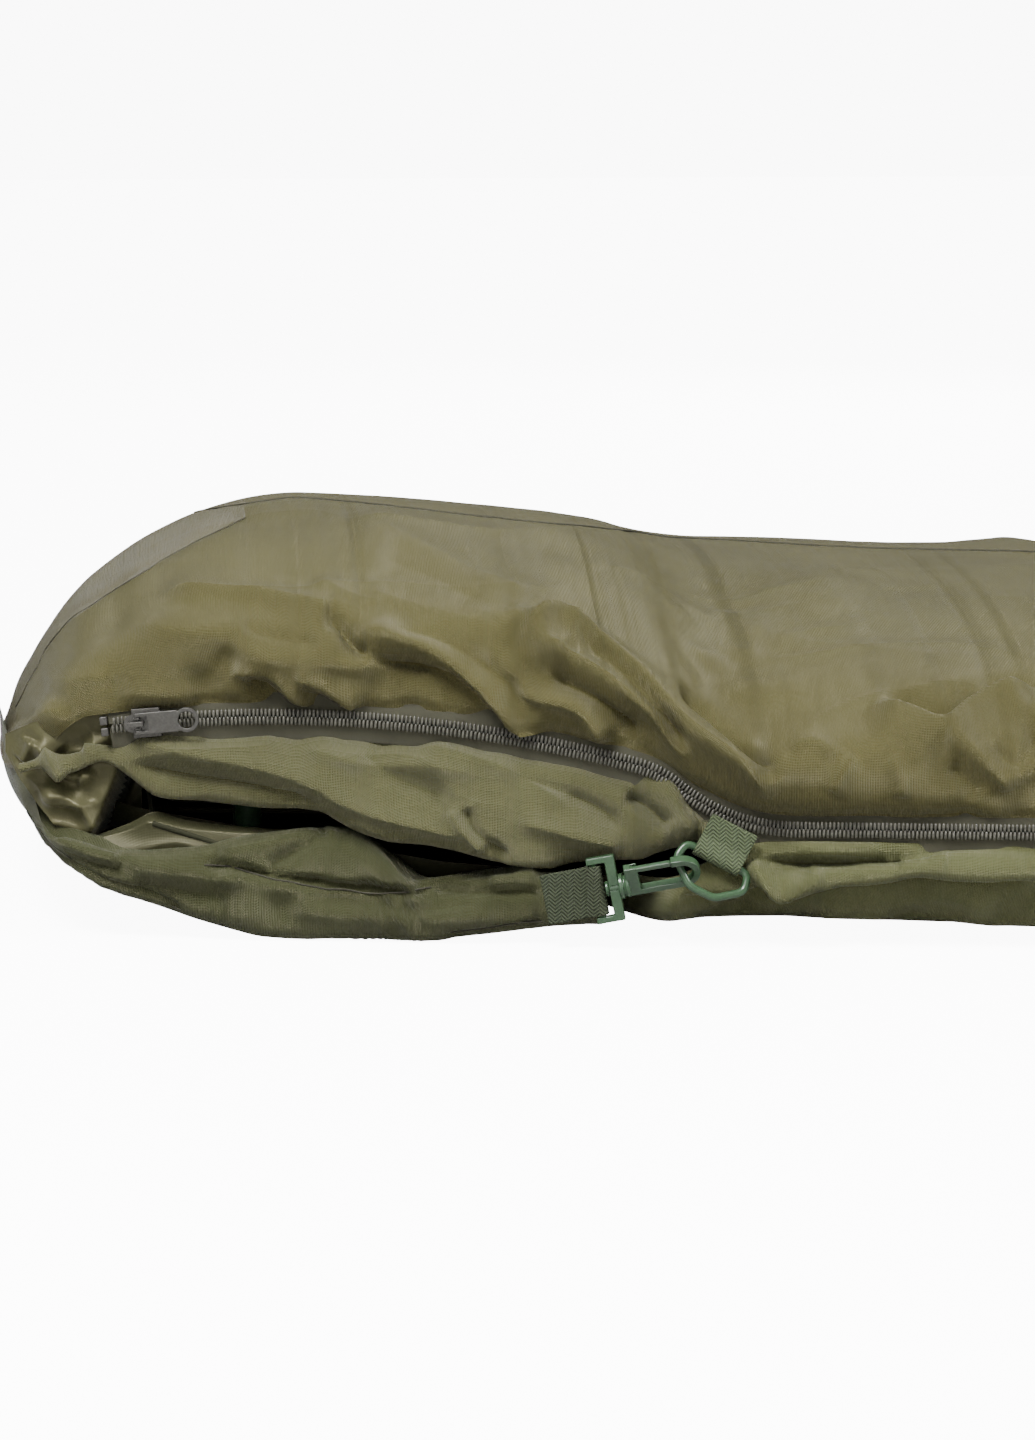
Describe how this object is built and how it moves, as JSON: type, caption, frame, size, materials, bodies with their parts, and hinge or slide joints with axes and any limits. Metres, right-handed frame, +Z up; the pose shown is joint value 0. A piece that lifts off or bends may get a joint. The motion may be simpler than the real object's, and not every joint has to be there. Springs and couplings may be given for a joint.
{
  "type": "mummy sleeping bag",
  "caption": "Padded mummy sleeping bag with a shaped hood, a side zip that curves below the face, and a swivel snap hook and ring at the hood.",
  "frame": {"origin": "middle of the flat underside, on the ground", "axes": "+X from the hood to the foot, +Z up, and the zip on the -Y side"},
  "size_m": [2.1618, 0.6371, 0.202],
  "materials": {
    "shell_fabric": "satin",
    "lining_fabric": "satin",
    "wadding": "matte",
    "zip_tape": "matte",
    "zip_coil": "satin",
    "slider_metal": "satin",
    "webbing": "matte",
    "hardware_plastic": "satin",
    "cord": "matte",
    "spring_steel": "satin"
  },
  "bodies": {
    "bag": {"top_shell": "shell_fabric", "top_insulation": "wadding", "top_lining": "lining_fabric", "base_shell": "shell_fabric", "base_insulation": "wadding", "base_lining": "lining_fabric", "hood_shell": "shell_fabric", "hood_insulation": "wadding", "hood_lining": "lining_fabric", "zip_side_baffle": "shell_fabric", "draft_tube": "lining_fabric", "zip_tape_upper": "zip_tape", "zip_tape_lower": "zip_tape", "zip_coil_upper": "zip_coil", "zip_coil_lower": "zip_coil", "zip_top_stops": "slider_metal", "zip_bottom_stop": "slider_metal", "hook_webbing_tab": "webbing", "ring_webbing_tab": "webbing", "hood_drawcord": "cord", "foot_hang_loops": "webbing"},
    "head_slider": {"head_slider_body": "slider_metal", "head_slider_lock": "slider_metal"},
    "head_pull": {"head_pull_tab": "slider_metal"},
    "foot_slider": {"foot_slider_body": "slider_metal", "foot_slider_lock": "slider_metal"},
    "foot_pull": {"foot_pull_tab": "slider_metal"},
    "hook_base": {"hook_base": "hardware_plastic"},
    "hook": {"snap_hook": "hardware_plastic"},
    "gate": {"hook_gate": "hardware_plastic"},
    "ring": {"hex_ring": "hardware_plastic"},
    "cord_lock": {"cord_lock_body": "hardware_plastic", "cord_lock_spring": "spring_steel"},
    "lock_plunger": {"cord_lock_plunger": "hardware_plastic"}
  },
  "joints": [
    {"name": "head_zip_run", "type": "hinge", "parent": "bag", "child": "head_slider", "pos_m": [-0.92936, -0.23507, -0.58677], "axis": [0.1564, 0.9877, 0], "range_deg": [0, 18]},
    {"name": "head_pull_swing", "type": "hinge", "parent": "head_slider", "child": "head_pull", "pos_m": [-1.00201, -0.22776, 0.10944], "axis": [0.0972, -0.0154, -0.9951], "range_deg": [0, 150]},
    {"name": "foot_zip_run", "type": "slide", "parent": "bag", "child": "foot_slider", "axis": [-0.9973, -0.0732, 0], "range_m": [0, 1.09]},
    {"name": "foot_pull_swing", "type": "hinge", "parent": "foot_slider", "child": "foot_pull", "pos_m": [0.81703, -0.23717, 0.0595], "axis": [0, 0, 1], "range_deg": [0, 150]},
    {"name": "hook_base_swing", "type": "hinge", "parent": "bag", "child": "hook_base", "pos_m": [-0.77577, -0.26952, 0.02957], "axis": [-0.1885, 0.0298, 0.9816], "range_deg": [-0.8, 1.5]},
    {"name": "hook_turn", "type": "hinge", "parent": "hook_base", "child": "hook", "pos_m": [-0.76802, -0.27075, 0.0311], "axis": [0.9695, -0.1536, 0.1908], "range_deg": [-4, 4]},
    {"name": "gate_swing", "type": "hinge", "parent": "hook", "child": "gate", "pos_m": [-0.76035, -0.27771, 0.04104], "axis": [0.02, 0.8262, 0.563], "range_deg": [0, 18], "stiffness_Nm_per_rad": 0.01},
    {"name": "ring_swing", "type": "hinge", "parent": "bag", "child": "ring", "pos_m": [-0.71676, -0.27462, 0.04559], "axis": [0.88, -0.1394, -0.454], "range_deg": [-2, 2]},
    {"name": "lock_run", "type": "slide", "parent": "bag", "child": "cord_lock", "axis": [0.9877, -0.1564, 0], "range_m": [-0.025, 0.04]},
    {"name": "lock_press", "type": "slide", "parent": "cord_lock", "child": "lock_plunger", "axis": [0, 0, -1], "range_m": [0, 0.003], "stiffness_N_per_m": 400, "springref_m": -0.001, "deforming": ["cord_lock_spring"]}
  ]
}
